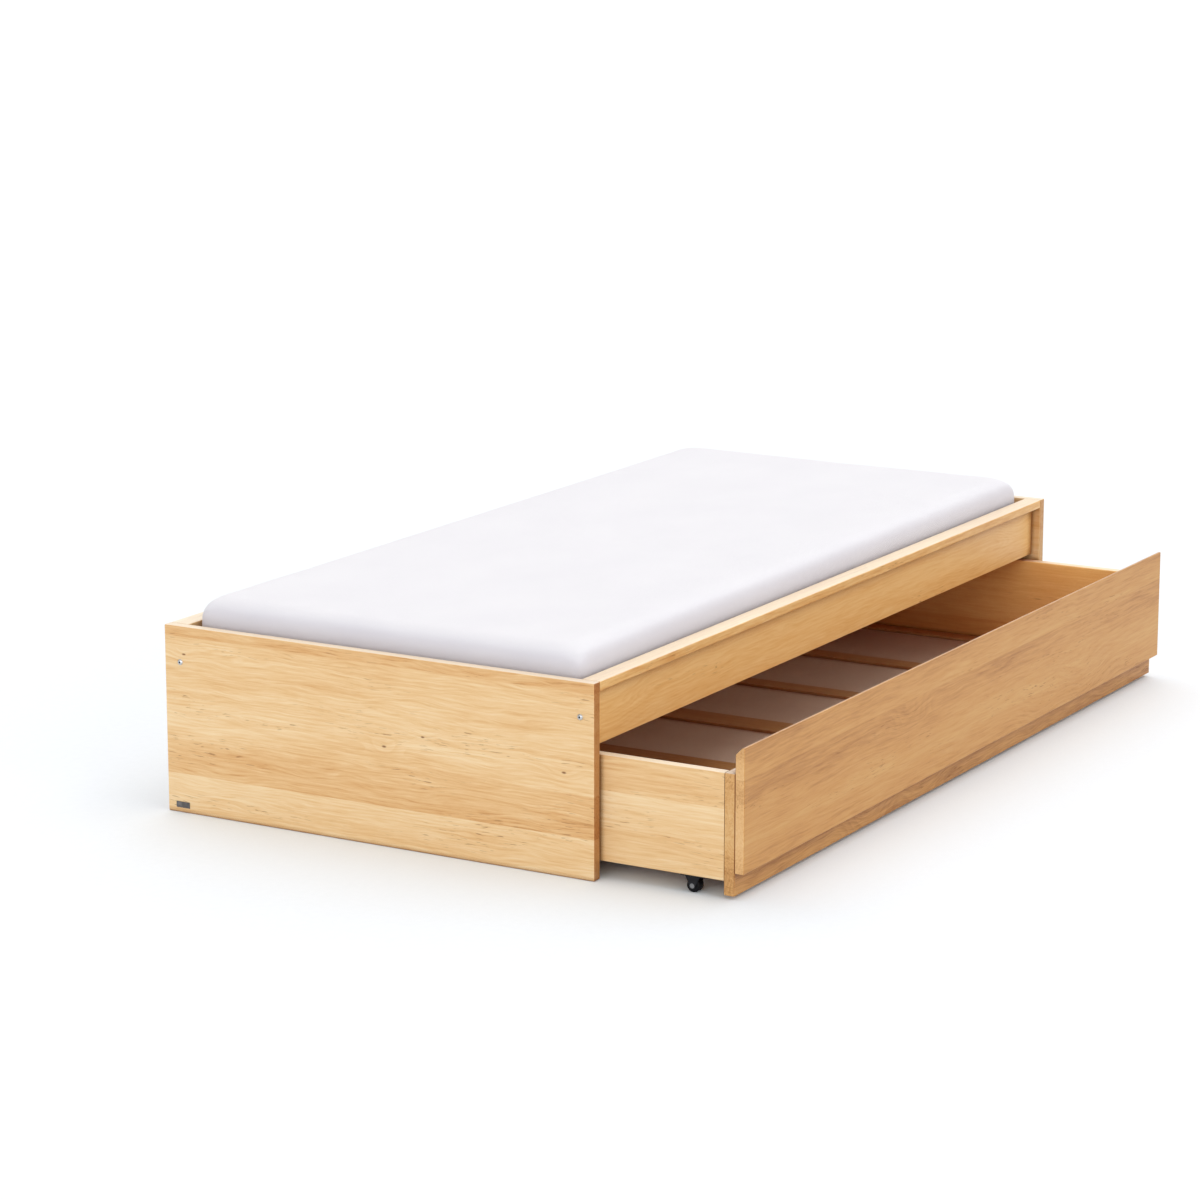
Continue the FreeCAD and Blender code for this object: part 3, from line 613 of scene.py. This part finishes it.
# ---------------------------------------------------------------- mattress
VOXEL = 0.011
TOP_EDGE = 0.032                          # radius of the long round along the top edges
LOW_CORNER = 0.022                        # plan corners where the block stands in the frame
HIGH_CORNER = 0.040                       # plan corners at the top of the round
BOTTOM_EDGE = 0.012
START_INSET = 0.004                       # the sewn cover swells by about this much
SWELL_CAP = 0.006
SWELL_FRAMES = 20
REST_GAP = 0.0001                         # between the cover and the slats it lies on
RINGS = 14                                # levels in the top round
CORNER_POINTS = 12


def outline(low, high, inset, corner, z):
    """Points once round a rectangle with round corners, at height z."""
    points = []
    for turn, (sx, sy) in enumerate(((1, 1), (-1, 1), (-1, -1), (1, -1))):
        centre_x = (high.x - inset - corner) if sx > 0 else (low.x + inset + corner)
        centre_y = (high.y - inset - corner) if sy > 0 else (low.y + inset + corner)
        for i in range(CORNER_POINTS + 1):
            angle = math.pi / 2 * (turn + i / CORNER_POINTS)
            points.append((centre_x + corner * math.cos(angle), centre_y + corner * math.sin(angle), z))
    return points


def rounded_block(low, high):
    """A closed block: small corners below, opening into a large soft round along the top."""
    levels = [(BOTTOM_EDGE, LOW_CORNER, low.z), (0.0, LOW_CORNER, low.z + BOTTOM_EDGE)]
    for i in range(RINGS + 1):
        angle = math.pi / 2 * i / RINGS
        corner = LOW_CORNER + (HIGH_CORNER - LOW_CORNER) * math.sin(angle)
        levels.append((TOP_EDGE * (1 - math.cos(angle)), corner, high.z - TOP_EDGE * (1 - math.sin(angle))))
    points = []
    for inset, corner, z in levels:
        points += outline(low, high, inset, corner, z)
    count = 4 * (CORNER_POINTS + 1)
    faces = [tuple(reversed(range(count))), tuple(range(len(points) - count, len(points)))]
    for ring in range(len(levels) - 1):
        for i in range(count):
            a = ring * count + i
            b = ring * count + (i + 1) % count
            faces.append((a, b, b + count, a + count))
    mesh = bpy.data.meshes.new("mattress_cover")
    mesh.from_pydata(points, [], faces)
    return mesh


def apply_modifiers(piece):
    graph = bpy.context.evaluated_depsgraph_get()
    done = bpy.data.meshes.new_from_object(piece.evaluated_get(graph))
    piece.modifiers.clear()
    piece.data = done


def points_of(piece):
    points = np.empty(len(piece.data.vertices) * 3)
    piece.data.vertices.foreach_get("co", points)
    return points.reshape(-1, 3)


def swell(piece):
    """Cloth under a little pressure: the cover fills out and takes its soft crown."""
    start = points_of(piece)
    cloth = piece.modifiers.new("cloth", "CLOTH")
    settings = cloth.settings
    settings.quality = 4
    settings.mass = 0.3
    settings.tension_stiffness = 25
    settings.compression_stiffness = 25
    settings.shear_stiffness = 12
    settings.bending_stiffness = 6
    settings.use_pressure = True
    settings.uniform_pressure_force = 4.0
    settings.effector_weights.gravity = 0.0
    cloth.collision_settings.use_collision = False
    cloth.point_cache.frame_start = 1
    cloth.point_cache.frame_end = SWELL_FRAMES
    scene = bpy.context.scene
    for frame_number in range(1, SWELL_FRAMES + 1):
        scene.frame_set(frame_number)
    apply_modifiers(piece)
    scene.frame_set(1)
    move = points_of(piece) - start
    far = np.linalg.norm(move, axis=1, keepdims=True)
    move *= np.minimum(1.0, SWELL_CAP / np.maximum(far, 1e-9))
    return start + move


def add_mattress():
    low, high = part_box("mattress")
    inset = Vector((START_INSET, START_INSET, START_INSET))
    piece = bpy.data.objects.new("mattress_cover", rounded_block(low + inset, high - inset))
    bpy.context.scene.collection.objects.link(piece)
    remesh = piece.modifiers.new("remesh", "REMESH")
    remesh.mode = "VOXEL"
    remesh.voxel_size = VOXEL
    apply_modifiers(piece)
    points = swell(piece)
    # it lies flat on the slats and stays between the boards
    for i in range(3):
        points[:, i] = np.clip(points[:, i], low[i] + REST_GAP, high[i])
    piece.data.vertices.foreach_set("co", points.ravel())
    piece.data.update()
    smooth = piece.modifiers.new("smooth", "SMOOTH")
    smooth.factor = 0.5
    smooth.iterations = 4
    subdivide = piece.modifiers.new("subdivide", "SUBSURF")
    subdivide.levels = 1
    subdivide.render_levels = 1
    apply_modifiers(piece)
    for polygon in piece.data.polygons:
        polygon.use_smooth = True
    piece.data.materials.clear()
    piece.data.materials.append(mattress_fabric().material)
    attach(piece, "bed")
    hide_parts("mattress")


# ---------------------------------------------------------------- floor
FLOOR_HALF = 60.0
FLOOR_COLOURS = [(0.3, (0.786, 0.814, 0.846)), (0.7, (0.800, 0.828, 0.860))]
FLOOR_PAINTED_LIGHT = (0.90, 0.955, 1.0)           # painted light: paler and cooler close to the bed, which lifts the bed's shade there
FLOOR_REACH = 0.50
FLOOR_EDGES = (0.96, 0.40)


def add_floor():
    h = FLOOR_HALF
    mesh = bpy.data.meshes.new("floor")
    mesh.from_pydata([(-h, -h, 0), (h, -h, 0), (h, h, 0), (-h, h, 0)], [], [(0, 1, 2, 3)])
    floor = bpy.data.objects.new("floor", mesh)
    bpy.context.scene.collection.objects.link(floor)
    t = Tree("floor")
    paper = t.ramp(t.cloud(60, detail=3.0), FLOOR_COLOURS)
    near = t.step(t.openness(FLOOR_REACH), *FLOOR_EDGES)
    # painted light near the bed, lifting its shade on the floor
    t.put("Base Color", t.mix(near, paper, FLOOR_PAINTED_LIGHT))
    t.put("Roughness", 0.9)
    t.put("Specular IOR Level", 0.1)
    mesh.materials.append(t.material)


bpy.context.scene.view_settings.view_transform = "Standard"
add_camera()
add_lights()
add_floor()
paint_bed_boards()
paint_drawer_boards()
paint_fittings()
add_mattress()
